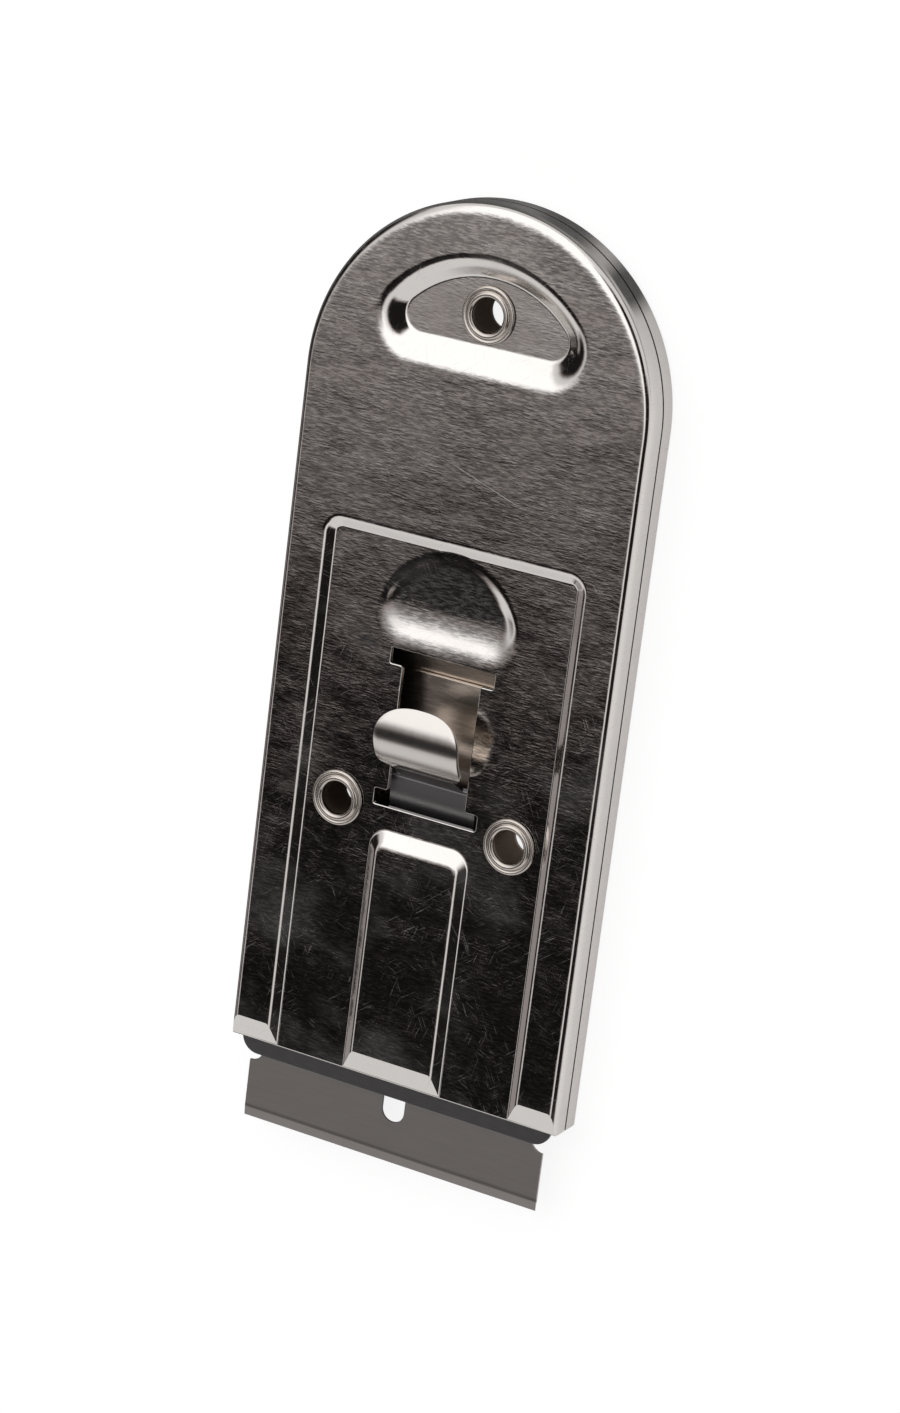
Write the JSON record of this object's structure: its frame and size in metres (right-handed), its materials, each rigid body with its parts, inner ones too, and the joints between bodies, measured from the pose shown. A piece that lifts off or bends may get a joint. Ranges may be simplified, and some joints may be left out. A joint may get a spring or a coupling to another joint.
{
  "type": "window scraper",
  "caption": "Flat nickel-plated window scraper with a round hanging end, a wide retractable blade at its square mouth and a sprung thumb catch in a slot.",
  "frame": {"origin": "centre of the bounding box in X and Y, on the plane that the back shell's border lies on", "axes": "+X to the right seen from the front, +Y from the blade to the hanging end, +Z out of the front face"},
  "size_m": [0.044, 0.1152, 0.0102],
  "materials": {
    "shell_nickel": "nickel plate with a fine brushed grain",
    "eyelet_nickel": "bright nickel plate",
    "blade_steel": "satin, ground bright at the edge",
    "dark_steel": "dark satin",
    "spring_steel": "bright satin"
  },
  "bodies": {
    "housing": {"front_shell": "shell_nickel", "back_shell": "shell_nickel", "hang_eyelet": "eyelet_nickel", "left_eyelet": "eyelet_nickel", "right_eyelet": "eyelet_nickel"},
    "slide": {"blade_carrier": "shell_nickel", "blade_jaw": "dark_steel", "blade": "blade_steel", "left_rivet": "spring_steel", "right_rivet": "spring_steel"},
    "catch": {"thumb_catch": "spring_steel"}
  },
  "joints": [
    {"name": "blade_slide", "type": "slide", "parent": "housing", "child": "slide", "axis": [0, 1, 0], "range_m": [-0.00305, 0.0132]},
    {"name": "catch_press", "type": "hinge", "parent": "slide", "child": "catch", "pos_m": [0, -0.0338, 0.00328], "axis": [-1, 0, 0], "range_deg": [0, 1.5], "stiffness_Nm_per_rad": 2, "springref_deg": -1.15}
  ]
}
